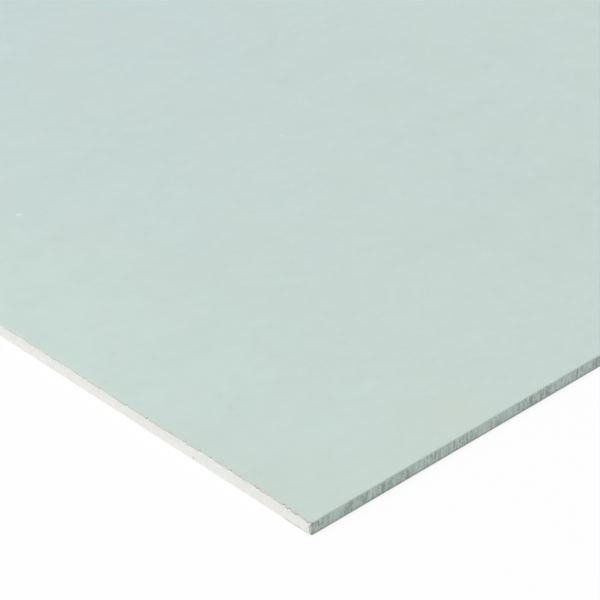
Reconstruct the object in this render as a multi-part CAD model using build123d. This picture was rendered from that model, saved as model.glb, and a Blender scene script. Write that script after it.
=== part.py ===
from build123d import *
import os

# Moisture-resistant drywall sheet, lying flat with its green face up.
# Gypsum is cast on the face paper, which is then folded up round both long edges and in over the
# gypsum. The back paper is glued across those two returns and stops a little short of each edge.
# The short ends are sawn, so all three pieces stop there in one plane.
# X runs along the sheet, Y across it and Z up. The origin is the middle of the back, where the
# sheet rests. Lengths are in millimetres.

# Sheet
sheet_length = 2400
sheet_width = 1200
sheet_thickness = 12.5

# Face paper. The bends are the square, untapered edge: one at the face and one at the back.
face_paper_thickness = 0.3
face_bend_radius = 1.0
back_bend_radius = 0.8
return_width = 30

# Back paper. The setback is the strip of each return that it leaves bare.
back_paper_thickness = 0.3
back_paper_setback = 12


def sheet_outline():
    """Outer line of the face paper, from the end of one return round the face to the other."""
    edge = sheet_width / 2
    return_end = edge - return_width
    return FilletPolyline(
        (-return_end, back_paper_thickness),
        (-edge, back_paper_thickness),
        (-edge, sheet_thickness),
        (edge, sheet_thickness),
        (edge, back_paper_thickness),
        (return_end, back_paper_thickness),
        radius=[back_bend_radius, face_bend_radius, face_bend_radius, back_bend_radius],
    )


def face_paper_section():
    """One strip of even thickness, bent to the outline."""
    strip = offset(
        sheet_outline(), amount=face_paper_thickness, side=Side.RIGHT, closed=True
    )
    return make_face(strip)


def gypsum_section():
    """All that the wrapped paper holds, flush with its returns at the back."""
    outline = sheet_outline()
    filled = make_face([outline, Line(outline @ 1, outline @ 0)])
    return filled - face_paper_section()


def back_paper_section():
    """Flat strip under the gypsum and the inner part of both returns."""
    width = sheet_width - 2 * back_paper_setback
    return Rectangle(width, back_paper_thickness, align=(Align.CENTER, Align.MIN))


def run_of_sheet(section):
    """Extrudes a section from the middle of the sheet to both sawn ends."""
    return extrude(Plane.YZ * section, amount=sheet_length / 2, both=True)


pieces = {
    "face_paper": run_of_sheet(face_paper_section()),
    "gypsum_core": run_of_sheet(gypsum_section()),
    "back_paper": run_of_sheet(back_paper_section()),
}

os.makedirs("parts", exist_ok=True)
for name, piece in pieces.items():
    export_step(piece, f"parts/{name}.step")
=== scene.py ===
"""Looks of a moisture-resistant drywall sheet: the gypsum core with its rough sawn ends, the green face
paper wrapped round both long edges, the back paper, the fibres torn along the saw cuts, and a plain
studio stage. Everything is in metres, in the packed part's own frame, with the green face up."""

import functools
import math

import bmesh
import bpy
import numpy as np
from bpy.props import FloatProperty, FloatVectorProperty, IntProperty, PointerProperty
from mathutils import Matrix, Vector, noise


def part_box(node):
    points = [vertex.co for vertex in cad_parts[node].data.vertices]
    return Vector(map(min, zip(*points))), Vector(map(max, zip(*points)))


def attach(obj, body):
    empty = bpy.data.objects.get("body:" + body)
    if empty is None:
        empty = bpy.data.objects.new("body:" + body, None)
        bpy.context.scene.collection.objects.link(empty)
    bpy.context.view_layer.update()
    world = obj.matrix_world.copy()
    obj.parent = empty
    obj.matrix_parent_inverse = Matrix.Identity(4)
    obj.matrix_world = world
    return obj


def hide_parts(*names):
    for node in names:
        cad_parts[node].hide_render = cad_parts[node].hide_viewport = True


bl_info = {
    "name": "Drywall Sheet",
    "version": (1, 0, 0),
    "blender": (4, 5, 0),
    "location": "View3D > Sidebar > Drywall",
    "description": "Builds the visible pieces of a paper-faced gypsum board and a studio stage for it",
    "category": "Add Mesh",
}

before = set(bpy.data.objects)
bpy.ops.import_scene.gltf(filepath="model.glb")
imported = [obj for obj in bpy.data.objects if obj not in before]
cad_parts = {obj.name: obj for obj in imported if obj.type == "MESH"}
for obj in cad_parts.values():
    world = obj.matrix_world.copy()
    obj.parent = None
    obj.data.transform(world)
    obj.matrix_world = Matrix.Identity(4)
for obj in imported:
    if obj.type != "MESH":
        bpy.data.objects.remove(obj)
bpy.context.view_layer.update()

# Places in the packed frame. The sheet reaches the same way to both sides of X and of Y.
PAPER_LOW, PAPER_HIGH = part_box("face_paper")
CORE_LOW, CORE_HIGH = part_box("gypsum_core")
BACK_LOW, BACK_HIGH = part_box("back_paper")
END, EDGE, FACE = PAPER_HIGH
FACE_PAPER = PAPER_HIGH.z - CORE_HIGH.z
BACK_PAPER = BACK_HIGH.z - BACK_LOW.z
NEAR, FAR = -1, 1

MM = 0.001


def linear(code):
    """A colour as Blender wants it, from an sRGB hex code."""
    shares = [int(code[n : n + 2], 16) / 255 for n in (1, 3, 5)]
    return [s / 12.92 if s <= 0.04045 else ((s + 0.055) / 1.055) ** 2.4 for s in shares]


# Kinds of settings: a length of some millimetres, and a colour.
length = functools.partial(FloatProperty, unit="LENGTH", precision=4)
tint = functools.partial(FloatVectorProperty, subtype="COLOR")


class FoldSettings(bpy.types.PropertyGroup):
    """How the face paper is folded, which the boxes of the packed pieces don't tell"""

    face_bend: length(
        name="Face bend", default=1.0 * MM,
        description="Outer radius of the fold between the face and a long edge",
    )
    back_bend: length(
        name="Back bend", default=0.8 * MM,
        description="Outer radius of the fold between a long edge and its return",
    )
    return_width: FloatProperty(
        name="Return width", default=30 * MM, unit="LENGTH",
        description="How far the face paper reaches in under the back, from the long edge",
    )


class CutSettings(bpy.types.PropertyGroup):
    """What the saw and the handling did to the two ends"""

    recess: length(
        name="Gypsum recess", default=0.3 * MM,
        description="How far the sawn gypsum lies behind the longest fibres of the paper",
    )
    crumble: length(
        name="Crumbled rim", default=0.3 * MM,
        description="How much deeper the gypsum has crumbled right under the face paper",
    )
    setback: length(
        name="Paper setback", default=0.9 * MM,
        description="About how far the whole paper is torn back from the cut where it is torn most",
    )
    drag: length(
        name="Dragged paper", default=1.5 * MM,
        description="About how far the saw dragged the torn paper down over the gypsum",
    )
    tear: length(
        name="Torn ply", default=0.55 * MM,
        description="How much further the green ply is torn back than the grey one under it",
    )
    edge_scuff: length(
        name="Scuffed edge", default=3.5 * MM,
        description="How far the green ply is scuffed away where a long edge meets the cut",
    )
    corner_scuff: length(
        name="Scuffed corner", default=3.2 * MM,
        description="How far the scuff of a long edge reaches in over the face",
    )
    roll: length(
        name="Rolled rim", default=0.3 * MM,
        description="How far the saw pressed the face down at the cut",
    )
    roll_reach: length(
        name="Roll reach", default=1.6 * MM, description="How far from the cut the face is pressed down"
    )
    fibres: IntProperty(
        name="Fibres", default=900, min=0, description="Torn paper fibres along each sawn end"
    )


class FinishSettings(bpy.types.PropertyGroup):
    """Colours of the paper and the gypsum"""

    face_green: tint(
        name="Face green", default=linear("#C7D7D0"), description="Dyed top ply of the face paper"
    )
    torn_grey: tint(
        name="Torn grey", default=linear("#C9CFC9"),
        description="Undyed ply that shows where the green one is torn away",
    )
    ink: tint(
        name="Ink", default=linear("#8E9A94"), description="Worn strokes printed on the wrapped edge"
    )
    # Dark grey for dirt and painted shade in the torn ply's nicks and at the corners, and for a speck on
    # the gypsum.
    soil_and_shade: tint(
        name="Soil", default=linear("#6F726B"), description="Dirt that the torn ply took up in its nicks"
    )
    gypsum: tint(name="Gypsum", default=linear("#EDEFEC"), description="Sawn plaster")
    back_grey: tint(
        name="Back paper", default=linear("#CFCABE"), description="Undyed paper over the back"
    )


class StageSettings(bpy.types.PropertyGroup):
    """Camera, lamps and floor"""

    eye: FloatVectorProperty(
        name="Camera place", subtype="XYZ", unit="LENGTH", default=(-1.0008, -1.0393, 1.1163),
        description="Where the camera stands, from the foot of the photographed corner",
    )
    heading: FloatProperty(
        name="Heading", subtype="ANGLE", default=math.radians(46.418),
        description="Level direction of the camera, from +X towards +Y",
    )
    pitch: FloatProperty(
        name="Pitch", subtype="ANGLE", default=math.radians(32.17),
        description="How far the camera looks down",
    )
    focal_pixels: FloatProperty(
        name="Focal length in pixels", default=2428,
        description="Focal length for a picture 600 pixels wide",
    )
    key_power: FloatProperty(
        name="Key light", subtype="POWER", default=372,
        description="Power of the large soft lamp above the sawn end",
    )
    dome: FloatProperty(name="Dome light", default=0.51, description="Even light from all round")


# Points across the sheet. A level tells how many times a row may lose every second point before it
# loses this one, so that rows thin out away from the sawn ends, where nothing but flat paper lies.
ALWAYS = 99
FACE_STEPS = 1600
EDGE_STEPS = 16
RETURN_STEPS = 32
BEND_STEPS = 6
BACK_STEPS = 784
CORE_STEPS = 1600
CORE_LAYERS = 18
INNER_THINNING = 2

# Distances of the rows from the sawn end. Each of the last ones has thinned out once more.
PAPER_ROWS = [0, 0.5 * MM, 1.1 * MM, 2 * MM, 3.5 * MM, 6 * MM, 10 * MM]
CORE_ROWS = [0.7 * MM, 2 * MM, 5 * MM]
THIN_ROWS = [16 * MM, 26 * MM, 42 * MM, 66 * MM, 104 * MM, 164 * MM]
STRAIGHT = 12 * MM


def row_plan(rows):
    """Distance from the sawn end and thinning of each row, from the end inwards."""
    return [(d, 0) for d in rows] + [(d, n + 1) for n, d in enumerate(THIN_ROWS)]


def levels(steps):
    """Levels of a straight run. Its ends, and the points beside them, are never lost."""
    found = np.array([(n & -n).bit_length() - 1 for n in range(steps + 1)])
    found[[0, 1, -2, -1]] = ALWAYS
    return found


def straight_run(start, stop, steps, inward):
    """Places, directions into the paper and levels along a straight part of the outline."""
    shares = np.linspace(0, 1, steps + 1)[:, None]
    places = np.array(start) + (np.array(stop) - np.array(start)) * shares
    return places, np.tile(inward, (steps + 1, 1)), levels(steps)


def bent_run(centre, radius, start, stop, steps):
    """The same round a fold, between two angles."""
    angles = np.radians(np.linspace(start, stop, steps + 1))
    outward = np.column_stack((np.cos(angles), np.sin(angles)))
    return np.array(centre) + radius * outward, -outward, [ALWAYS] * (steps + 1)


def joined(runs):
    """One outline from runs that share their end points."""
    parts = [[part[0 if n == 0 else 1 :] for part in run] for n, run in enumerate(runs)]
    return [np.concatenate([run[n] for run in parts]) for n in range(3)]


def face_outline(fold):
    """Outer line of the face paper, from one return's end round the face to the other's."""
    low = PAPER_LOW.z
    over, under = fold.face_bend, fold.back_bend
    places, inward, level = joined(
        [
            straight_run((0, FACE), (EDGE - over, FACE), FACE_STEPS, (0, -1)),
            bent_run((EDGE - over, FACE - over), over, 90, 0, BEND_STEPS),
            straight_run((EDGE, FACE - over), (EDGE, low + under), EDGE_STEPS, (-1, 0)),
            bent_run((EDGE - under, low + under), under, 0, -90, BEND_STEPS),
            straight_run((EDGE - under, low), (EDGE - fold.return_width, low), RETURN_STEPS, (0, 1)),
        ]
    )
    mirrored = ((places, (-1, 1)), (inward, (-1, 1)), (level, 1))
    return [np.concatenate((part[:0:-1] * flip, part)) for part, flip in mirrored]


def back_outline():
    """Lower line of the back paper."""
    low = BACK_LOW.z
    return straight_run((-BACK_HIGH.y, low), (BACK_HIGH.y, low), BACK_STEPS, (0, 1))


def grain(places, size, seed):
    """Smooth noise from -1 to 1 at each place (y, z), with bumps about size across."""
    return np.array([noise.noise(Vector((seed, y / size, z / size))) for y, z in places])


def rough(places, size, seed):
    """The same noise from 0 to 1."""
    return 0.5 + 0.5 * grain(places, size, seed)


# Sizes of the unevenness at a cut: how a tear wanders, its dents, its ragged line and its single tufts.
SLOW, DENT, QUICK, FINE = 17 * MM, 4 * MM, 2.4 * MM, 0.9 * MM

# Nicks that the photograph shows in the near end: millimetres from the corner, width and depth.
SEEN_NICKS = [
    (14.3, 2.4, 0.7), (24.1, 3, 0.9), (30.6, 4, 1.4), (59.1, 4, 1), (63.1, 2.4, 0.9),
    (79.8, 2.4, 0.9), (90.6, 3, 1), (113.6, 3, 1.1), (126.4, 2.6, 1.3), (135.1, 9, 0.2),
    (143.5, 2.6, 1.1), (159.6, 12, 0.3), (187.8, 3, 0.7), (193.9, 3, 0.6), (213, 2.6, 0.9),
    (245.6, 2.4, 0.7), (265.1, 4, 0.5), (301.6, 10, 0.3),
]
SEEN_REACH = 380 * MM
OTHER_NICKS = 26

# How far the near end's paper is dragged down over the gypsum in the photograph, or torn back from it
# where the value is below zero: millimetres from the corner, and millimetres.
SEEN_DRAGS = [
    (0, 4.6), (3.5, 3.6), (6.4, 2.2), (8.6, 1.3), (12, 1.4), (20, 2.3), (28, 1.3), (36, 0.4),
    (46, -0.3), (55, 0.9), (65, -0.5), (76, -0.1), (92, -0.3), (101, -0.2), (114, -0.3), (121, -0.8),
    (129, 0.2), (134, 0.9), (141, 1.1), (148, -0.1), (156, 1.2), (164, 1.3), (177, 1.2), (186, 1.6),
    (206, 1.3), (216, 1.9), (226, 1.5), (236, 0.8), (250, 1.4), (262, 1.4), (286, 0.4), (308, 1.2),
    (322, 0.4), (340, 0.9), (350, 0.1), (358, 1.1), (380, 0.6),
]

# How deep dragged paper can always reach, and how far the saw frays even whole paper at most.
TIGHTEST_FOLD, FRAYED = 0.75 * MM, 0.15 * MM


def nicks(sign):
    """Distance from the -Y corner, width and depth of each nick at a sawn end."""
    random = np.random.default_rng(7 + sign)
    seen = np.array(SEEN_NICKS) * MM if sign == NEAR else np.zeros((0, 3))
    past = SEEN_REACH if sign == NEAR else 0
    places = random.uniform(past, 2 * EDGE, OTHER_NICKS)
    widths = random.uniform(3 * MM, 9 * MM, OTHER_NICKS)
    depths = random.uniform(0.5 * MM, 1.4 * MM, OTHER_NICKS)
    return np.vstack((seen, np.column_stack((places, widths, depths))))


def nicked(across, sign):
    """How deep the nicks are at each place across the sheet."""
    depth = np.zeros(len(across))
    for place, width, deepest in nicks(sign):
        share = (across + EDGE - place) / (width / 2)
        depth = np.maximum(depth, deepest * np.clip(1 - share**2, 0, 1))
    return depth


def dragged(across, places, sign, cut):
    """How far the paper is dragged down over the gypsum along a cut, or torn back where below zero."""
    steady_share, slow_share = 0.35, 0.9
    found = cut.drag * (steady_share + slow_share * grain(places, SLOW, 3.3 * sign))
    if sign == NEAR:
        stops, drags = np.array(SEEN_DRAGS).T * MM
        from_corner = across + EDGE
        found = np.where(from_corner < SEEN_REACH, np.interp(from_corner, stops, drags), found)
    return found


def to_fold(places):
    """How deep the paper at each outline point can reach before it meets the paper past the next fold."""
    from_edge = EDGE - abs(places[:, 0])
    from_bends = np.minimum(FACE - places[:, 1], places[:, 1] - PAPER_LOW.z)
    return np.maximum(np.maximum(from_edge, from_bends), TIGHTEST_FOLD)


# How uneven the saw's work on the paper is: the steady, quick and fine shares of each part of it.
UNEVEN_SHARES = {
    "ragged": (0.45, 0.65, 0.65),
    "torn": (0.15, 0.5, 0.35),
    "scuffed": (0.35, 0.65, 0),
    "nicked": (0.55, 0, 0.9),
    "soiled_and_shaded": (0.3, 0, 0.6),
}


def torn_back(places, sign, cut):
    """At each outline point: how far the green ply and the grey one under it stop short of the cut, how
    far the grey is dragged over the gypsum, and how dark it is painted with dirt and shade."""
    grey_nick_share, corner_drag_share, upper_drag_share = 0.7, 1.7, 1.4
    corner_soil_share, fold_soil_share = 0.1, 0.6
    across, height_share = places[:, 0], places[:, 1] / FACE
    quick = rough(places, QUICK, 5.7 * sign)
    fine = rough(places, FINE, 9.1 * sign)
    uneven = {}
    for key, (steady_share, quick_share, fine_share) in UNEVEN_SHARES.items():
        uneven[key] = steady_share + quick_share * quick + fine_share * fine
    ragged = uneven["ragged"]
    upper = np.clip(4 * height_share - 3, 0, 1)
    beside = np.clip((abs(across) - EDGE + cut.corner_scuff) / cut.corner_scuff, 0, 1) ** 2
    nick = nicked(across, sign) * upper * uneven["nicked"]
    slow = dragged(across, places, sign, cut)
    both = np.clip(-slow, 0, cut.setback) * ragged * upper + FRAYED * fine
    green = both + nick + cut.tear * uneven["torn"] + beside * cut.edge_scuff * uneven["scuffed"]
    grey = both + grey_nick_share * nick
    drag = np.clip(slow - nick, 0, None) * ragged * upper
    at_corner = corner_drag_share + upper_drag_share * height_share**2
    drag = np.maximum(drag, beside * cut.drag * ragged * at_corner)
    drag = np.minimum(drag, to_fold(places) - FACE_PAPER)
    by_fold = np.clip(3 * abs(2 * height_share - 1) - 0.6, 0, 1)
    # The nicks are darkened as painted shade with some dirt, and the corners are darker too, most near the
    # folds.
    soiled_and_shaded = np.clip(nick / MM, 0, 1) * uneven["soiled_and_shaded"]
    soiled_and_shaded += beside * (corner_soil_share + fold_soil_share * by_fold * quick)
    return green, grey, drag, np.clip(soiled_and_shaded, 0, 1)


# Bruised corners, as (end, edge): how far each is pressed down, and how far the bruise reaches. The
# first is the photographed one.
BRUISES = {
    (NEAR, NEAR): (0.35 * MM, 14 * MM),
    (NEAR, FAR): (0.6 * MM, 11 * MM),
    (FAR, NEAR): (0.9 * MM, 13 * MM),
    (FAR, FAR): (0.5 * MM, 9 * MM),
}
BRUISE_INWARD_SHARE = 0.35


def settled(points, cut):
    """Points as the saw and the handling left them: the face rolls down a little at both cuts and the
    corners are bruised. Every piece goes through this, so that they stay on each other."""
    steady_share, slow_share, dent_share = 0.6, 0.25, 0.15
    moved = points.copy()
    x, y, z = points.T
    to_end = END - abs(x)
    upper = np.clip(2 * z / FACE - 1, 0, 1) ** 2
    close = np.flatnonzero((to_end < 4 * cut.roll_reach) & (upper > 0))
    along = np.column_stack((y[close], np.sign(x[close]) * END))
    uneven = steady_share + slow_share * grain(along, SLOW, 1.5) + dent_share * grain(along, DENT, 2.5)
    moved[close, 2] -= cut.roll * uneven * np.exp(-((to_end[close] / cut.roll_reach) ** 2)) * upper[close]
    for (end, edge), (depth, reach) in BRUISES.items():
        away = np.hypot(END - end * x, EDGE - edge * y) / reach
        share = np.clip(1 - away, 0, 1) ** 2
        moved[:, 0] -= end * BRUISE_INWARD_SHARE * depth * share
        moved[:, 1] -= edge * BRUISE_INWARD_SHARE * depth * share
        moved[:, 2] -= depth * share * upper
    return moved


class MeshLines:
    """Collects the rows of points and the faces of one closed mesh"""

    def __init__(self):
        self.points, self.soil_and_shade, self.faces, self.finishes = [], [], [], []
        self.count = 0

    def row(self, numbers, x, y, z, soiled_and_shaded=0):
        """Adds a row of points and returns its outline numbers and its vertices."""
        places = np.column_stack(np.broadcast_arrays(x, y, z, soiled_and_shaded))
        self.points.append(places[:, :3])
        self.soil_and_shade.append(places[:, 3])
        self.count += len(places)
        return numbers, np.arange(self.count - len(places), self.count)

    def face(self, corners, finish=0):
        """Adds a face, with the number of its material."""
        self.faces.append(corners)
        self.finishes.append(finish)

    def strip(self, low, high, finish=0):
        """Faces between two rows, of which one may have lost points that the other has."""
        shared = np.intersect1d(low[0], high[0])
        low_stops = np.searchsorted(low[0], shared)
        high_stops = np.searchsorted(high[0], shared)
        for n in range(len(shared) - 1):
            under = low[1][low_stops[n] : low_stops[n + 1] + 1]
            over = high[1][high_stops[n] : high_stops[n + 1] + 1]
            self.face([*under, *over[::-1]], finish)

    def build(self, name, materials, cut, sharp=35):
        """Makes the object, with its faces turned outwards and the edges past sharp degrees marked."""
        mesh = bpy.data.meshes.new(name)
        mesh.from_pydata(settled(np.concatenate(self.points), cut).tolist(), [], self.faces)
        for material in materials:
            mesh.materials.append(material)
        mesh.polygons.foreach_set("material_index", self.finishes)
        # How dark each point is painted with dirt and shade.
        soil_and_shade = mesh.attributes.new("soiled_and_shaded", "FLOAT", "POINT")
        soil_and_shade.data.foreach_set("value", np.concatenate(self.soil_and_shade))
        turned = bmesh.new()
        turned.from_mesh(mesh)
        bmesh.ops.recalc_face_normals(turned, faces=turned.faces)
        turned.to_mesh(mesh)
        turned.free()
        mesh.shade_smooth()
        mesh.set_sharp_from_angle(angle=math.radians(sharp))
        made = bpy.data.objects.new(name, mesh)
        bpy.context.scene.collection.objects.link(made)
        return made


def paper_mesh(name, outline, thickness, torn, materials, cut):
    """A closed sheet of paper along the whole length, with torn ends. The outer ply stops short of the
    inner one there, which leaves a step with the last material, and the inner one may be dragged over
    what it covers."""
    places, inward, level = outline
    outer_ply_share, step_share = 0.35, 0.5
    raw = len(materials) - 1
    lines = MeshLines()
    plan = row_plan(PAPER_ROWS)
    stations = []
    for sign, rows in ((NEAR, plan), (FAR, plan[::-1])):
        outer_torn, inner_torn, drag, soiled_and_shaded = torn[sign]
        for distance, thinning in rows:
            fade = max(0, 1 - distance / STRAIGHT)

            def line(short, depth, lost=0):
                kept = np.flatnonzero(level >= thinning + lost)
                deep = np.broadcast_to(depth, len(level))[kept, None]
                y, z = (places[kept] + inward[kept] * deep).T
                x = sign * (END - distance - short[kept] * fade)
                return lines.row(kept, x, y, z, soiled_and_shaded[kept])

            if distance > 0:
                stations.append([line(outer_torn, 0), line(inner_torn, thickness, INNER_THINNING)])
                continue
            steps = [
                line(outer_torn, 0),
                line(outer_torn, outer_ply_share * thickness),
                line(inner_torn, step_share * thickness),
                line(inner_torn + np.minimum(drag, cut.recess), thickness + drag),
            ]
            for outer, inner in zip(steps, steps[1:]):
                lines.strip(outer, inner, raw)
            stations.append(steps)
    for low, high in zip(stations, stations[1:]):
        lines.strip(low[0], high[0])
        lines.strip(low[-1], high[-1], raw)
        for side in (0, -1):
            wall = [row[1][side] for row in low] + [row[1][side] for row in high[::-1]]
            lines.face(wall, raw)
    return lines.build(name, materials, cut)


def core_columns(fold):
    """Places across the core, and the level, bottom and top of each column of points."""
    edge, top = CORE_HIGH.y, CORE_HIGH.z
    over = fold.face_bend - FACE_PAPER
    under = fold.back_bend - FACE_PAPER
    low = CORE_LOW.z
    angles = np.radians(np.linspace(90, 0, BEND_STEPS + 1))
    bend = over * np.sin(angles)
    middle = np.linspace(over - edge, edge - over, CORE_STEPS + 1)
    across = np.concatenate((over - edge - bend[:-1], middle, edge - over + bend[-2::-1]))
    level = np.concatenate(([ALWAYS] * BEND_STEPS, levels(CORE_STEPS), [ALWAYS] * BEND_STEPS))
    past_top = np.clip(abs(across) - (edge - over), 0, over)
    past_bottom = np.clip(abs(across) - (edge - under), 0, under)
    tops = top - over + np.sqrt(over**2 - past_top**2)
    on_return = abs(across) >= EDGE - fold.return_width
    step = np.flatnonzero(np.diff(on_return.astype(int)))
    level[step] = level[step + 1] = ALWAYS
    lifted = low + FACE_PAPER + under - np.sqrt(under**2 - past_bottom**2)
    bottoms = np.where(on_return, lifted, low)
    return across, level, bottoms, tops


# What the saw left in the gypsum: depth and size across in millimetres, how many times as far each mark
# reaches from face to back, and the seed of its noise.
SAW_MARKS = {
    "waves": (0.10, 30, 1, 2.1),
    "strokes of the teeth": (0.06, 1.8, 8, 4.3),
    "lumps": (0.10, 5, 1, 6.1),
    "crumbs": (0.08, 1.7, 1, 8.9),
}


def sawn_relief(places, to_rim, to_foot, sign, cut):
    """How far the sawn gypsum lies behind the end plane: the marks of the saw, and deeper rims where it
    broke away under the paper."""
    rim_reach, foot_reach, side_reach, chip = 0.7 * MM, 0.5 * MM, 0.6 * MM, 3.2 * MM
    foot_share, nick_share, steady_share, chipped_share = 0.6, 0.6, 0.55, 0.45
    y, z = places.T
    relief = cut.recess
    for depth, size, stretch, seed in SAW_MARKS.values():
        relief = relief + depth * MM * grain(np.column_stack((y, z / stretch)), size * MM, seed * sign)
    ragged = steady_share + chipped_share * grain(places, chip, 7.7 * sign)
    to_side = np.minimum(CORE_HIGH.y - abs(y), 10 * MM)
    rims = np.exp(-to_rim / rim_reach) + foot_share * np.exp(-to_foot / foot_reach)
    rims += np.exp(-to_side / side_reach)
    nick = nick_share * nicked(y, sign) * np.exp(-((to_rim / rim_reach) ** 2))
    return np.maximum(relief + cut.crumble * ragged * rims + nick, 0)


def core_mesh(name, materials, cut, fold):
    """The gypsum slab: a rough grid on each sawn end, and plain rows along the length between them."""
    across, level, bottoms, tops = core_columns(fold)
    lines = MeshLines()
    shares = (1 - np.cos(np.linspace(0, math.pi, CORE_LAYERS + 1))) / 2
    heights = bottoms[:, None] + (tops - bottoms)[:, None] * shares
    wide = np.broadcast_to(across[:, None], heights.shape)
    last = len(across) - 1
    loop = [(n, CORE_LAYERS) for n in range(last + 1)]
    loop += [(last, n) for n in range(CORE_LAYERS - 1, 0, -1)]
    loop += [(n, 0) for n in range(last, -1, -1)]
    loop += [(0, n) for n in range(1, CORE_LAYERS)]
    columns, layers = np.array(loop).T
    kept_sides = np.full(CORE_LAYERS - 1, ALWAYS)
    loop_level = np.concatenate((level, kept_sides, level[::-1], kept_sides))
    plan = row_plan(CORE_ROWS)
    stations = []
    for sign, rows in ((NEAR, plan), (FAR, plan[::-1])):
        places = np.column_stack((wide.ravel(), heights.ravel()))
        to_rim = (tops[:, None] - heights).ravel()
        to_foot = (heights - bottoms[:, None]).ravel()
        relief = sawn_relief(places, to_rim, to_foot, sign, cut)
        grid = lines.row(None, sign * (END - relief), *places.T)[1].reshape(heights.shape)
        corners = np.stack((grid[:-1, :-1], grid[1:, :-1], grid[1:, 1:], grid[:-1, 1:]), -1)
        for face in corners.reshape(-1, 4):
            lines.face(face)
        rim = relief.reshape(heights.shape)[columns, layers]
        ring = np.append(grid[columns, layers], grid[0, CORE_LAYERS])
        end_row = (np.arange(len(ring)), ring)
        inner_rows = []
        for distance, thinning in rows:
            kept = np.flatnonzero(loop_level >= thinning)
            fade = max(0, 1 - distance / STRAIGHT)
            x = sign * (END - distance - rim[kept] * fade)
            y, z = across[columns[kept]], heights[columns[kept], layers[kept]]
            vertices = lines.row(None, x, y, z)[1]
            inner_rows.append((np.append(kept, len(loop)), np.append(vertices, vertices[0])))
        stations += [end_row, *inner_rows] if sign == NEAR else [*inner_rows, end_row]
    for low, high in zip(stations, stations[1:]):
        lines.strip(low, high)
    return lines.build(name, materials, cut)


def fibre_mesh(name, outline, torn, sign, materials, cut):
    """Fibres that stand out of the torn ply at one sawn end and droop over the gypsum."""
    places, inward, _ = outline
    _, inner_torn, drag, soiled_and_shaded = torn[sign]
    random = np.random.default_rng(40 + sign)
    lines = MeshLines()
    sides, ring_shares = 3, (0, 0.4, 0.75, 1)
    shortest, longest, thinnest, thickest = 0.3 * MM, 1.3 * MM, 0.04 * MM, 0.08 * MM
    rooted, past_cut = 0.3 * MM, 0.35 * MM
    most_lean, droop_share, taper_share = 0.8, 0.8, 0.7
    angles = np.arange(sides) / sides * 2 * math.pi
    for _ in range(cut.fibres):
        number = random.integers(len(places))
        into = np.array((0, *inward[number]))
        along = np.array((0, -inward[number][1], inward[number][0]))
        root = np.array((sign * (END - inner_torn[number] - rooted), *places[number]))
        root += into * FACE_PAPER * random.uniform(0.3, 0.9)
        reach = random.uniform(shortest, longest) + drag[number]
        lean = random.uniform(-most_lean, most_lean)
        width = random.uniform(thinnest, thickest)
        furthest = min(past_cut + 0.5 * inner_torn[number], reach)
        rings = []
        for share in ring_shares:
            outwards = np.array((sign * furthest * math.sin(share * math.pi / 2), 0, 0))
            drooped = into * reach * droop_share * share**2
            centre = root + outwards + drooped + along * reach * lean * share
            ring = np.outer(np.cos(angles), along)
            ring[:, 0] = np.sin(angles)
            ring = centre + width * (1 - taper_share * share) * ring
            x = np.clip(ring[:, 0], -END, END)
            # The fibres take half the torn ply's painted shade and dirt.
            numbers, vertices = lines.row(np.arange(sides + 1), x, *ring[:, 1:].T, soiled_and_shaded[number] / 2)
            rings.append((numbers, np.append(vertices, vertices[0])))
        for low, high in zip(rings, rings[1:]):
            lines.strip(low, high)
        lines.face(rings[0][1][:sides])
        lines.face(rings[-1][1][:sides][::-1])
    return lines.build(name, materials, cut)


def wire(tree, node, inputs):
    """Sets a node's inputs, each to a value or to another node's output."""
    for key, value in inputs.items():
        if isinstance(value, bpy.types.NodeSocket):
            tree.links.new(value, node.inputs[key])
        else:
            node.inputs[key].default_value = value


def add(tree, kind, inputs=None, **settings):
    """Adds a node with its settings and inputs."""
    made = tree.nodes.new(kind)
    for key, value in settings.items():
        setattr(made, key, value)
    wire(tree, made, inputs or {})
    return made


# Sockets of a Mix node set to colours, which share their names with those of its other kinds.
MIX_SHARE, MIX_A, MIX_B, MIX_RESULT = 0, 6, 7, 2
WHITE = (1, 1, 1, 1)


def tinted(colour, factor=1):
    """A colour made lighter or darker, with full alpha."""
    return (*[min(1, part * factor) for part in colour], 1)


def shifted(colour, *factors):
    """A colour made lighter or darker by a factor for each channel, with full alpha."""
    return tinted([part * factor for part, factor in zip(colour, factors)])


def empty_tree(owner):
    """The node tree of a material or a world, with nothing in it yet."""
    owner.use_nodes = True
    owner.node_tree.nodes.clear()
    return owner.node_tree


def new_surface(name, patterns):
    """A material with its shader wired up, and its noise patterns by name. Each pattern has its real
    size along X, Y and Z in millimetres and how many finer layers it has."""
    material = bpy.data.materials.new(name)
    tree = empty_tree(material)
    shader = add(tree, "ShaderNodeBsdfPrincipled")
    add(tree, "ShaderNodeOutputMaterial", {"Surface": shader.outputs["BSDF"]})
    coords = add(tree, "ShaderNodeTexCoord").outputs["Object"]
    noises = {}
    for key, (*size, detail) in patterns.items():
        per_metre = [1 / (part * MM) for part in size]
        scaled = add(tree, "ShaderNodeVectorMath", {0: coords, 1: per_metre}, operation="MULTIPLY")
        inputs = {"Vector": scaled.outputs[0], "Scale": 1, "Detail": detail}
        noises[key] = add(tree, "ShaderNodeTexNoise", inputs).outputs[0]
    return material, tree, shader, coords, noises


def dressed(tree, shader, tone, height, depth, roughness, specular, **relief):
    """Gives a shader its colour, its relief of a given depth, and its sheen."""
    bump = add(tree, "ShaderNodeBump", {"Height": height, "Distance": depth, **relief}).outputs[0]
    wire(tree, shader, {"Base Color": tone, "Normal": bump})
    wire(tree, shader, {"Roughness": roughness, "Specular IOR Level": specular})


def ranged(tree, value, start, stop, below, above):
    """A value brought into a new range: where it starts and stops, and what it becomes there."""
    span = {"Value": value, "From Min": start, "From Max": stop, "To Min": below, "To Max": above}
    return add(tree, "ShaderNodeMapRange", span).outputs[0]


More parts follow.
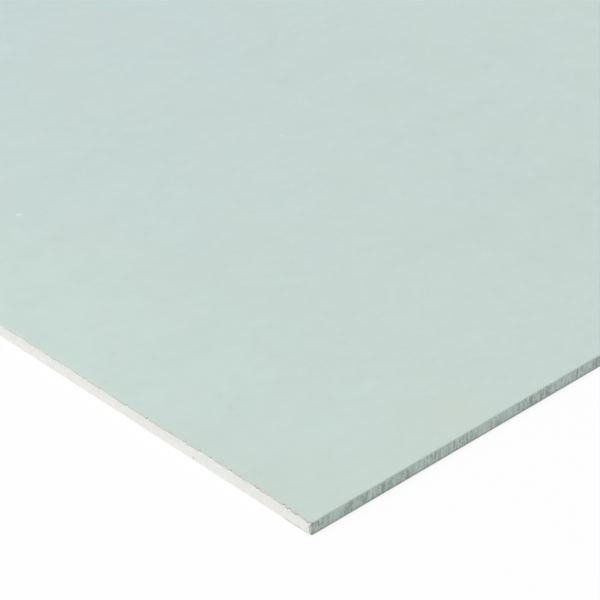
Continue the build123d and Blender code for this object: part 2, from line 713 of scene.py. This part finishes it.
def calculated(tree, operation, *values):
    """What a Math node makes of one to three values."""
    return add(tree, "ShaderNodeMath", dict(enumerate(values)), operation=operation).outputs[0]


def combined(tree, operation, values):
    """Several values in one, two at a time."""
    total = values[0]
    for value in values[1:]:
        total = calculated(tree, operation, total, value)
    return total


def product(tree, *shares):
    """The share of what lies where all of the shares are high."""
    return combined(tree, "MULTIPLY", shares)


def layered(tree, ground, layers):
    """Colours laid over the ground, each with the share that hides what is under it."""
    tone = ground
    for share, colour in layers:
        inputs = {MIX_SHARE: share, MIX_A: tone, MIX_B: colour}
        tone = add(tree, "ShaderNodeMix", inputs, data_type="RGBA").outputs[MIX_RESULT]
    return tone


def shown(tree):
    """1 for rays that show a thing, straight or by a mirror or a glass, and 0 for rays that light."""
    rays = add(tree, "ShaderNodeLightPath")
    kinds = ("Is Camera Ray", "Is Glossy Ray", "Is Transmission Ray")
    return combined(tree, "MAXIMUM", [rays.outputs[kind] for kind in kinds])


def sawn_gypsum(finish):
    """Gypsum plaster, foamed, cast and sawn. It is chalk white and dead matt, with air bubbles cut open
    that read as fine pits, painted darker in their hollows as shade, and a cream stain low down where the
    folded paper bled into it."""
    plaster = finish.gypsum
    bubble = 0.8 * MM
    stain_reach = 7 * MM
    pit_share = 0.8
    speck_place = (-END, 133.5 * MM - EDGE, 2.2 * MM)
    patterns = {
        "chalk": (6, 6, 6, 3),
        "blush": (18, 18, 9, 1),
        "teeth": (0.9, 0.9, 8, 2),
        "powder": (0.35, 0.35, 0.35, 4),
    }
    material, tree, shader, coords, noises = new_surface("sawn_gypsum_plaster", patterns)
    xyz = add(tree, "ShaderNodeSeparateXYZ", {"Vector": coords})
    pits = add(tree, "ShaderNodeTexVoronoi", {"Vector": coords, "Scale": 1 / bubble}).outputs["Distance"]
    side = calculated(tree, "ABSOLUTE", xyz.outputs["Y"])
    from_speck = add(tree, "ShaderNodeVectorMath", {0: coords, 1: speck_place}, operation="DISTANCE")
    # Each share grows or fades with a value: where that starts and stops, and what the share is there.
    spans = {
        "chalk": (noises["chalk"], 0.35, 0.65, 0, 0.95),
        "blush": (noises["blush"], 0.5, 0.65, 0, 0.8),
        "cool": (noises["blush"], 0.45, 0.32, 0, 0.6),
        "teeth": (noises["teeth"], 0.5, 0.68, 0, 0.45),
        "pit_and_shade": (pits, 0.1, 0.25, 0.6, 0),
        "stain": (side, EDGE - stain_reach, EDGE, 0, 0.75),
        "low": (xyz.outputs["Z"], FACE / 3, FACE * 0.8, 1, 0.15),
        "speck": (from_speck.outputs["Value"], 0.5 * MM, 1.5 * MM, 0.45, 0),
    }
    shares = {key: ranged(tree, *span) for key, span in spans.items()}
    stain = product(tree, shares["stain"], shares["low"])
    layers = [
        (shares["chalk"], tinted(plaster, 0.92)),
        (shares["blush"], (*linear("#EEE9E6"), 1)),
        (shares["cool"], (*linear("#E9ECE7"), 1)),
        (shares["teeth"], tinted(plaster, 0.92)),
        # Painted shade in the cut bubble pits.
        (shares["pit_and_shade"], tinted(plaster, 0.85)),
        (stain, (*linear("#E6E5D0"), 1)),
        (shares["speck"], tinted(finish.soil_and_shade)),
    ]
    tone = layered(tree, tinted(plaster), layers)
    opened = calculated(tree, "MULTIPLY_ADD", shares["pit_and_shade"], -pit_share, noises["powder"])
    dressed(tree, shader, tone, opened, depth=0.1 * MM, roughness=0.95, specular=0.25)
    return material


# Marks that the photograph shows on the face: millimetres from the cut and from the wrapped edge,
# reach in millimetres, and how much of the colour under them they hide.
SMUDGES = [
    (58, 152, 4, 0.35), (62, 173, 5, 0.22), (124, 455, 10, 0.2), (10, 250, 4, 0.3),
    (15, 221, 3, 0.25), (130, 63, 3, 0.3), (152, 25, 3, 0.25), (321, 147, 4, 0.22),
    (399, 169, 4, 0.25), (568, 230, 6, 0.25), (606, 299, 5, 0.22),
]
DUST_GRAINS = [(125, 512, 3.2, 0.8), (136, 59, 2, 0.4), (516, 243, 3, 0.3), (335, 376, 2, 0.5)]
RUBS = [(184, 24, 30, 0.6), (168, 20, 22, 0.4), (150, 62, 26, 0.12), (90, 130, 24, 0.1)]


def dyed_face_paper(finish, fold):
    """Waste-paper board with a green-dyed top ply, calendered. It is matt with a slight polish, and its
    pulp clouds, long fibres and handling marks only just show. Both long edges are crimped where the
    paper was folded, and the photographed one has worn printed strokes on it."""
    ragged = 2.5 * MM
    smudge_gap, smudge = 95 * MM, 3.5 * MM
    dust_gap, dust = 240 * MM, 0.8 * MM
    patterns = {
        "cloud": (55, 40, 40, 2),
        "hue": (60, 60, 60, 3),
        "calender": (1500, 30, 30, 1),
        "flock": (17, 13, 13, 2),
        "mottle": (7, 6, 6, 3),
        # Real fibres are 0.03 mm wide, too fine to show, so they are drawn 20 times as coarse.
        "fibre": (5, 0.6, 0.6, 3),
        "patch": (9, 11, 9, 3),
        "crimp": (2.6, 2.6, 8, 3),
        "word": (27, 500, 500, 0),
        "stroke": (2.9, 2.9, 12, 1),
        "wear": (1.3, 1.3, 1.7, 2),
    }
    material, tree, shader, coords, noises = new_surface("green_dyed_face_paper", patterns)
    xyz = add(tree, "ShaderNodeSeparateXYZ", {"Vector": coords})
    along, across, height = [xyz.outputs[key] for key in "XYZ"]
    from_middle = [calculated(tree, "ABSOLUTE", value) for value in (along, across)]

    bend = add(tree, "ShaderNodeTexNoise", {"Vector": coords, "Scale": 1 / ragged, "Detail": 1})
    furthest = 3 * ragged
    shifts = {0: bend.outputs["Color"], 1: [furthest] * 3, 2: coords}
    bent = add(tree, "ShaderNodeVectorMath", shifts, operation="MULTIPLY_ADD").outputs[0]
    scattered = {}
    for key, gap in (("smudge", smudge_gap), ("dust", dust_gap)):
        inputs = {"Vector": bent, "Scale": 1 / gap}
        cells = add(tree, "ShaderNodeTexVoronoi", inputs, voronoi_dimensions="2D")
        scattered[key] = cells.outputs["Distance"]
    marks = {}
    for key, table in (("smudge", SMUDGES), ("dust", DUST_GRAINS), ("rub", RUBS)):
        found = []
        for from_cut, from_edge, reach, share in table:
            place = (from_cut * MM - END, from_edge * MM - EDGE, FACE)
            middle = [part + furthest / 2 for part in place]
            away = add(tree, "ShaderNodeVectorMath", {0: bent, 1: middle}, operation="DISTANCE")
            found.append(ranged(tree, away.outputs["Value"], 0, reach * MM, share, 0))
        marks[key] = combined(tree, "MAXIMUM", found)

    worn = combined(tree, "ADD", [noises["stroke"], noises["wear"]])

    wrinkle = 1.4 * MM
    wrinkled = calculated(tree, "MULTIPLY_ADD", noises["crimp"], wrinkle, from_middle[1])
    edge_line = EDGE + wrinkle / 2
    bend_start, bend_stop = edge_line - 0.7 * fold.face_bend, edge_line - 0.2 * fold.face_bend
    spans = {
        # The next five shares paint light: the green shifts in lightness and hue along and across the
        # sheet, and is lighter far along it and near the cut, as if more light fell there.
        "drift along": (along, -END, 1600 * MM - END, 0, 0.4),
        "drift across": (across, -EDGE, EDGE, 0, 0.4),
        "far": (along, 480 * MM - END, 850 * MM - END, 0, 0.5),
        "near": (along, 130 * MM - END, -END, 0, 0.5),
        "inward": (across, 60 * MM - EDGE, 260 * MM - EDGE, 0, 1),
        "hue": (noises["hue"], 0.42, 0.65, 0, 0.25),
        "patch": (noises["patch"], 0.4, 0.58, 0.15, 0.85),
        "by the cut": (from_middle[0], END - 7 * MM, END - 1 * MM, 0, 1),
        "by the corner": (across, 210 * MM - EDGE, 150 * MM - EDGE, 0, 0.7),
        "smudge": (scattered["smudge"], 0, smudge / smudge_gap, 0.22, 0),
        "dust": (scattered["dust"], 0.5 * dust / dust_gap, dust / dust_gap, 0.6, 0),
        "on the edge": (wrinkled, bend_start, bend_stop, 0, 1),
        "crimp": (noises["crimp"], 0.44, 0.66, 0, 0.5),
        "pale crimp": (noises["crimp"], 0.44, 0.34, 0, 0.5),
        # Dirt and painted contact shade: the wrapped edge is darker towards its foot.
        "dirt": (height, PAPER_LOW.z + 0.4 * MM, PAPER_LOW.z + 2.2 * MM, 0.75, 0),
        "at the foot": (from_middle[1], EDGE - 3 * fold.back_bend, EDGE - fold.back_bend, 0, 1),
        "on the front": (across, 0.3 * MM - EDGE, 0.1 * MM - EDGE, 0, 1),
        "stroke": (worn, 0.92, 1.2, 0, 0.84),
        "word": (noises["word"], 0.34, 0.46, 0.3, 1),
        "foot": (height, 1 * MM, 2 * MM, 0, 1),
        "head": (height, FACE - 0.6 * MM, FACE - 1.6 * MM, 0, 1),
    }
    shares = {key: ranged(tree, *span) for key, span in spans.items()}
    weights = {"cloud": 1.7, "calender": 0.8, "flock": 2.0, "mottle": 1.3, "fibre": 0.7}
    weighed = [calculated(tree, "MULTIPLY", noises[key], weight) for key, weight in weights.items()]
    uneven = combined(tree, "ADD", weighed)
    lightness = ranged(tree, uneven, 2.35, 4.15, 0.969, 1.031)
    scuffed = product(tree, shares["by the cut"], shares["patch"])
    grimed = product(tree, scuffed, shares["by the corner"])
    # Painted shade and painted sheen: the crimps are painted darker and lighter in step with their bumps.
    crimped = product(tree, shares["crimp"], shares["on the edge"])
    painted_crimp_sheen = product(tree, shares["pale crimp"], shares["on the edge"])
    foot_dirt_and_shade = product(tree, shares["dirt"], shares["at the foot"])
    inked = product(tree, *[shares[key] for key in ("stroke", "word", "on the front", "foot", "head")])
    green = finish.face_green
    # Painted light: the green drifts in lightness and hue across the sheet, and is lighter far along it
    # and near the cut.
    painted_light_near_cut = product(tree, shares["near"], shares["inward"])
    layers = [
        (shares["drift along"], shifted(green, 1.108, 0.996, 1.17)),
        (shares["drift across"], shifted(green, 0.895, 0.952, 1.11)),
        (shares["far"], shifted(green, 1.07, 1.076, 1.075)),
        (painted_light_near_cut, shifted(green, 1.03, 1.046, 1.045)),
    ]
    painted_light_green = layered(tree, tinted(green), layers)
    inputs = {0: painted_light_green, "Scale": lightness}
    clouded = add(tree, "ShaderNodeVectorMath", inputs, operation="SCALE").outputs[0]
    layers = [
        (shares["hue"], shifted(green, 1.035, 0.99, 1)),
        (marks["rub"], shifted(green, 1.05, 0.99, 0.96)),
        (scuffed, (*linear("#D2D6D0"), 1)),
        (grimed, (*linear("#C9C8C2"), 1)),
        (shares["smudge"], tinted(green, 0.85)),
        (marks["smudge"], tinted(green, 0.8)),
        (shares["dust"], tinted(finish.gypsum)),
        (marks["dust"], tinted(finish.gypsum)),
        # Painted shade and sheen on the crimps of the wrapped edges.
        (crimped, tinted(green, 0.82)),
        (painted_crimp_sheen, tinted(green, 1.12)),
        (inked, tinted(finish.ink)),
        # Dirt and painted contact shade along the foot of each wrapped edge.
        (foot_dirt_and_shade, (*linear("#7F827B"), 1)),
    ]
    tone = layered(tree, clouded, layers)
    fibrous = add(tree, "ShaderNodeBump", {"Height": uneven, "Distance": 0.012 * MM}).outputs[0]
    crimps = {"Strength": shares["on the edge"], "Normal": fibrous}
    polish = ranged(tree, noises["mottle"], 0.3, 0.7, 0.68, 0.8)
    dressed(tree, shader, tone, noises["crimp"], depth=0.2 * MM, roughness=polish, specular=0.35, **crimps)
    return material


def torn_grey_ply(finish):
    """Undyed waste-paper ply, torn. It is pale grey felt with darker tufts, dead matt, and it is darker in
    its nicks and at the corners, with dirt and painted shade. It is cleaner and paler away from the
    photographed corner."""
    patterns = {"felt": (0.9, 0.9, 0.9, 4), "tuft": (3.5, 3.5, 3.5, 2)}
    material, tree, shader, coords, noises = new_surface("torn_grey_paper_ply", patterns)
    soiled_and_shaded = add(tree, "ShaderNodeAttribute", attribute_name="soiled_and_shaded").outputs["Fac"]
    across = add(tree, "ShaderNodeSeparateXYZ", {"Vector": coords}).outputs["Y"]
    spans = {
        "felt": (noises["felt"], 0.35, 0.65, 0, 0.6),
        "tuft": (noises["tuft"], 0.5, 0.65, 0, 0.6),
        "clean": (across, 120 * MM - EDGE, 180 * MM - EDGE, 0, 0.5),
        # Painted shade and dirt in the nicks and at the corners.
        "soil_and_shade": (soiled_and_shaded, 0, 1, 0, 0.9),
    }
    shares = {key: ranged(tree, *span) for key, span in spans.items()}
    grey = finish.torn_grey
    layers = [
        (shares["felt"], tinted(grey, 0.9)),
        (shares["tuft"], tinted(grey, 0.8)),
        (shares["clean"], tinted(grey, 1.12)),
        (shares["soil_and_shade"], tinted(finish.soil_and_shade)),
    ]
    tone = layered(tree, tinted(grey, 0.95), layers)
    dressed(tree, shader, tone, noises["felt"], depth=0.1 * MM, roughness=0.95, specular=0.2)
    return material


def grey_back_paper(finish):
    """Undyed waste-paper board, uncoated. It is a warm pale grey with short dark flecks of old print in
    its pulp, and no polish."""
    patterns = {
        "pulp": (9, 9, 9, 3),
        "cloud": (120, 60, 60, 2),
        "fleck": (2.4, 0.7, 0.7, 2),
        "pale fleck": (3.4, 0.9, 0.9, 1),
    }
    material, tree, shader, _, noises = new_surface("undyed_back_paper", patterns)
    spans = {
        "pulp": (noises["pulp"], 0.3, 0.7, 0, 1),
        "cloud": (noises["cloud"], 0.4, 0.7, 0, 0.6),
        "fleck": (noises["fleck"], 0.62, 0.74, 0, 0.6),
        "pale fleck": (noises["pale fleck"], 0.34, 0.24, 0, 0.7),
    }
    shares = {key: ranged(tree, *span) for key, span in spans.items()}
    grey = finish.back_grey
    layers = [
        (shares["pulp"], tinted(grey, 1.06)),
        (shares["cloud"], tinted(grey, 0.93)),
        (shares["fleck"], tinted(grey, 0.5)),
        (shares["pale fleck"], tinted(grey, 1.2)),
    ]
    tone = layered(tree, tinted(grey, 0.93), layers)
    dressed(tree, shader, tone, noises["fleck"], depth=0.03 * MM, roughness=0.9, specular=0.25)
    return material


def torn_pale_ply(finish):
    """The back paper's own fibres, torn. They are paler than its face, as no dirt has got onto them."""
    patterns = {"felt": (0.9, 0.9, 0.9, 4)}
    material, tree, shader, _, noises = new_surface("torn_back_paper_ply", patterns)
    felt = ranged(tree, noises["felt"], 0.35, 0.65, 0, 1)
    pale = linear("#F2F0EA")
    tone = layered(tree, tinted(pale, 1.02), [(felt, tinted(pale, 0.93))])
    dressed(tree, shader, tone, noises["felt"], depth=0.1 * MM, roughness=0.95, specular=0.2)
    return material


def torn_ends(outline, cut):
    """What the saw tore off the face paper at each end."""
    return {sign: torn_back(outline[0], sign, cut) for sign in (NEAR, FAR)}


class DRYWALL_OT_gypsum_core(bpy.types.Operator):
    """Builds the gypsum slab with its rough sawn ends"""

    bl_idname = "drywall.gypsum_core"
    bl_label = "Gypsum core"

    def execute(self, context):
        scene = context.scene
        materials = [sawn_gypsum(scene.drywall_finish)]
        core = core_mesh("sawn_gypsum_core", materials, scene.drywall_cut, scene.drywall_fold)
        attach(core, "root")
        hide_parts("gypsum_core")
        return {"FINISHED"}


class DRYWALL_OT_face_paper(bpy.types.Operator):
    """Wraps the green face paper round the core"""

    bl_idname = "drywall.face_paper"
    bl_label = "Face paper"

    def execute(self, context):
        scene = context.scene
        cut, fold, finish = scene.drywall_cut, scene.drywall_fold, scene.drywall_finish
        outline = face_outline(fold)
        materials = [dyed_face_paper(finish, fold), torn_grey_ply(finish)]
        torn = torn_ends(outline, cut)
        paper = paper_mesh("wrapped_face_paper", outline, FACE_PAPER, torn, materials, cut)
        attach(paper, "root")
        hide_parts("face_paper")
        return {"FINISHED"}


class DRYWALL_OT_back_paper(bpy.types.Operator):
    """Lays the back paper over the back and the two returns"""

    bl_idname = "drywall.back_paper"
    bl_label = "Back paper"

    def execute(self, context):
        scene = context.scene
        cut, finish = scene.drywall_cut, scene.drywall_finish
        outline = back_outline()
        materials = [grey_back_paper(finish), torn_pale_ply(finish)]
        tuft = 3 * MM
        torn = {}
        for sign in (NEAR, FAR):
            torn_share = rough(outline[0], tuft, 6.6 * sign)
            untorn = np.zeros(len(torn_share))
            torn[sign] = (0.8 * cut.tear * torn_share, 0.3 * cut.tear * torn_share, untorn, untorn)
        paper = paper_mesh("lapped_back_paper", outline, BACK_PAPER, torn, materials, cut)
        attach(paper, "root")
        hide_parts("back_paper")
        return {"FINISHED"}


class DRYWALL_OT_torn_fibres(bpy.types.Operator):
    """Sets the torn fibres along both sawn ends"""

    bl_idname = "drywall.torn_fibres"
    bl_label = "Torn fibres"

    def execute(self, context):
        scene = context.scene
        cut, fold = scene.drywall_cut, scene.drywall_fold
        outline = face_outline(fold)
        torn = torn_ends(outline, cut)
        materials = [torn_grey_ply(scene.drywall_finish)]
        for sign, name in ((NEAR, "torn_fibres_near"), (FAR, "torn_fibres_far")):
            fibres = fibre_mesh(name, outline, torn, sign, materials, cut)
            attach(fibres, "root")
        return {"FINISHED"}


def placed(name, data, place, direction):
    """Puts a lamp or a camera in the scene, looking in a direction."""
    made = bpy.data.objects.new(name, data)
    made.location = place
    made.rotation_mode = "QUATERNION"
    made.rotation_quaternion = direction.to_track_quat("-Z", "Y")
    bpy.context.scene.collection.objects.link(made)
    return made


class DRYWALL_OT_stage(bpy.types.Operator):
    """Sets the floor, the soft light and the camera"""

    bl_idname = "drywall.stage"
    bl_label = "Stage"

    def execute(self, context):
        scene = context.scene
        stage = scene.drywall_stage
        scene.view_settings.view_transform = "Standard"

        floor_reach = 60
        floor_drop = 0.05 * MM
        mesh = bpy.data.meshes.new("studio_floor")
        corners = [(-1, -1), (1, -1), (1, 1), (-1, 1)]
        points = [(x * floor_reach, y * floor_reach, -floor_drop) for x, y in corners]
        mesh.from_pydata(points, [], [range(4)])
        floor = bpy.data.objects.new("studio_floor", mesh)
        scene.collection.objects.link(floor)
        mesh.materials.append(white_floor())

        world = bpy.data.worlds.new("studio_dome")
        scene.world = world
        tree = empty_tree(world)
        light = add(tree, "ShaderNodeBackground", {"Color": WHITE, "Strength": stage.dome})
        backdrop = add(tree, "ShaderNodeBackground", {"Color": WHITE, "Strength": 1})
        inputs = {0: shown(tree), 1: light.outputs[0], 2: backdrop.outputs[0]}
        both = add(tree, "ShaderNodeMixShader", inputs)
        add(tree, "ShaderNodeOutputWorld", {"Surface": both.outputs[0]})

        key_side = 4.4
        key_offset = Vector((-4.3, 0.9, 6.7))
        target = Vector((-END / 2, 0, 0))
        key_data = bpy.data.lights.new("softbox", "AREA")
        key_data.size = key_side
        key_data.energy = stage.key_power
        placed("softbox", key_data, target + key_offset, -key_offset)

        camera_data = bpy.data.cameras.new("camera")
        picture_width = 600
        camera_data.lens = stage.focal_pixels / picture_width * camera_data.sensor_width
        place = Vector((-END, -EDGE, 0)) + Vector(stage.eye)
        look = Vector((math.cos(stage.heading), math.sin(stage.heading), -math.tan(stage.pitch)))
        scene.camera = placed("camera", camera_data, place, look)
        return {"FINISHED"}


def white_floor():
    """White painted studio floor. It lights the sheet as matt white paint does, and the camera sees it
    nearly burnt out, with a trace of the sheet's shadow. It glows less inside the sheet's footprint, which
    paints the gap under its edges darker as shade."""
    white_paint = (0.9, 0.9, 0.9, 1)
    burnt_out, dimmed_glow_for_gap_shade = 0.9, 0.65
    cut_depth = 1 * MM
    material = bpy.data.materials.new("white_studio_paint")
    tree = empty_tree(material)
    coords = add(tree, "ShaderNodeTexCoord").outputs["Object"]
    xyz = add(tree, "ShaderNodeSeparateXYZ", {"Vector": coords})
    # Painted shade: the floor glows less inside the sheet's footprint, so the gap under its edges reads
    # darker.
    outside = []
    for key, reach in (("X", END - cut_depth), ("Y", EDGE)):
        away = calculated(tree, "ABSOLUTE", xyz.outputs[key])
        outside.append(calculated(tree, "GREATER_THAN", away, reach))
    open_floor = combined(tree, "MAXIMUM", outside)
    burnt = ranged(tree, open_floor, 0, 1, dimmed_glow_for_gap_shade, burnt_out)
    share = product(tree, shown(tree), burnt)
    paint = add(tree, "ShaderNodeBsdfDiffuse", {"Color": white_paint})
    glow = add(tree, "ShaderNodeEmission", {"Color": WHITE, "Strength": 1})
    both = add(tree, "ShaderNodeMixShader", {0: share, 1: paint.outputs[0], 2: glow.outputs[0]})
    add(tree, "ShaderNodeOutputMaterial", {"Surface": both.outputs[0]})
    return material


class DRYWALL_PT_panel(bpy.types.Panel):
    """Lists the sheet's settings and the steps that build it"""

    bl_idname = "DRYWALL_PT_panel"
    bl_label = "Drywall sheet"
    bl_space_type = "VIEW_3D"
    bl_region_type = "UI"
    bl_category = "Drywall"

    def draw(self, context):
        for name, group in SETTINGS.items():
            box = self.layout.box()
            box.label(text=group.__doc__)
            for key in group.__annotations__:
                box.prop(getattr(context.scene, name), key)
        for step in STEPS:
            self.layout.operator(step.bl_idname)


SETTINGS = {
    "drywall_fold": FoldSettings,
    "drywall_cut": CutSettings,
    "drywall_finish": FinishSettings,
    "drywall_stage": StageSettings,
}
STEPS = [
    DRYWALL_OT_gypsum_core,
    DRYWALL_OT_face_paper,
    DRYWALL_OT_back_paper,
    DRYWALL_OT_torn_fibres,
    DRYWALL_OT_stage,
]


def register():
    for name, group in SETTINGS.items():
        bpy.utils.register_class(group)
        setattr(bpy.types.Scene, name, PointerProperty(type=group))
    for step in (*STEPS, DRYWALL_PT_panel):
        bpy.utils.register_class(step)


def unregister():
    for step in (DRYWALL_PT_panel, *STEPS[::-1]):
        bpy.utils.unregister_class(step)
    for name, group in SETTINGS.items():
        delattr(bpy.types.Scene, name)
        bpy.utils.unregister_class(group)


def main():
    register()
    bpy.ops.drywall.gypsum_core()
    bpy.ops.drywall.face_paper()
    bpy.ops.drywall.back_paper()
    bpy.ops.drywall.torn_fibres()
    bpy.ops.drywall.stage()


if __name__ == "__main__":
    main()
